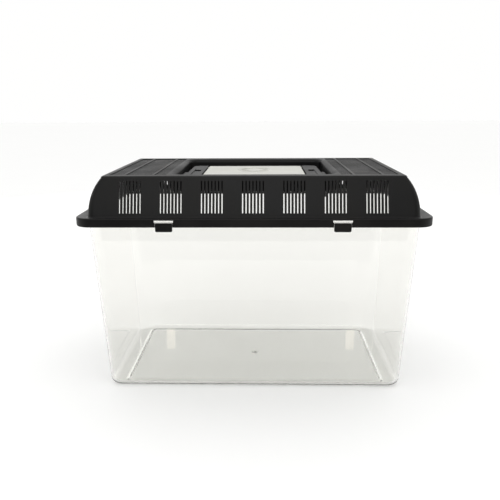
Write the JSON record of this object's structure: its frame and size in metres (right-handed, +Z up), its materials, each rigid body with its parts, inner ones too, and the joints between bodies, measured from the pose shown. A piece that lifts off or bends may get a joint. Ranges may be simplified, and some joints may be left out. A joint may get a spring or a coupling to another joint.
{
  "type": "ventilated insect carrying tank",
  "caption": "Clear tapered plastic tub with a domed black vented lid that lifts off, a clear hinged hatch in the lid and a fold-flat carrying handle.",
  "frame": {"origin": "on the table under the middle of the tub", "axes": "+X to the right along the long side, -Y out of the front, +Z up"},
  "size_m": [0.37, 0.22, 0.242],
  "materials": {
    "clear_tub": "clear moulded polystyrene",
    "black_lid": "fine satin moulding",
    "frosted_hatch": "pale frosted polystyrene",
    "black_handle": "satin moulding",
    "black_tab": "fine satin moulding"
  },
  "bodies": {
    "tub": {"tank": "clear_tub"},
    "lid": {"lid": "black_lid"},
    "hatch": {"hatch": "frosted_hatch"},
    "handle": {"handle": "black_handle"},
    "tab_front_left": {"tab_front_left": "black_tab"},
    "tab_front_right": {"tab_front_right": "black_tab"},
    "tab_back_left": {"tab_back_left": "black_tab"},
    "tab_back_right": {"tab_back_right": "black_tab"}
  },
  "joints": [
    {"name": "lid_lift", "type": "slide", "parent": "tub", "child": "lid", "axis": [0, 0, 1], "range_m": [0, 0.2]},
    {"name": "hatch_hinge", "type": "hinge", "parent": "lid", "child": "hatch", "pos_m": [0, 0.046, 0.234], "axis": [-1, 0, 0], "range_deg": [0, 105]},
    {"name": "handle_pivot", "type": "hinge", "parent": "lid", "child": "handle", "pos_m": [0, 0, 0.231], "axis": [-1, 0, 0], "range_deg": [0, 180]},
    {"name": "tab_front_left_flex", "type": "hinge", "parent": "lid", "child": "tab_front_left", "pos_m": [-0.091, -0.109, 0.1957], "axis": [-1, 0, 0], "range_deg": [0, 15], "stiffness_Nm_per_rad": 0.2},
    {"name": "tab_front_right_flex", "type": "hinge", "parent": "lid", "child": "tab_front_right", "pos_m": [0.091, -0.109, 0.1957], "axis": [-1, 0, 0], "range_deg": [0, 15], "stiffness_Nm_per_rad": 0.2},
    {"name": "tab_back_left_flex", "type": "hinge", "parent": "lid", "child": "tab_back_left", "pos_m": [-0.091, 0.109, 0.1957], "axis": [1, 0, 0], "range_deg": [0, 15], "stiffness_Nm_per_rad": 0.2},
    {"name": "tab_back_right_flex", "type": "hinge", "parent": "lid", "child": "tab_back_right", "pos_m": [0.091, 0.109, 0.1957], "axis": [1, 0, 0], "range_deg": [0, 15], "stiffness_Nm_per_rad": 0.2}
  ]
}
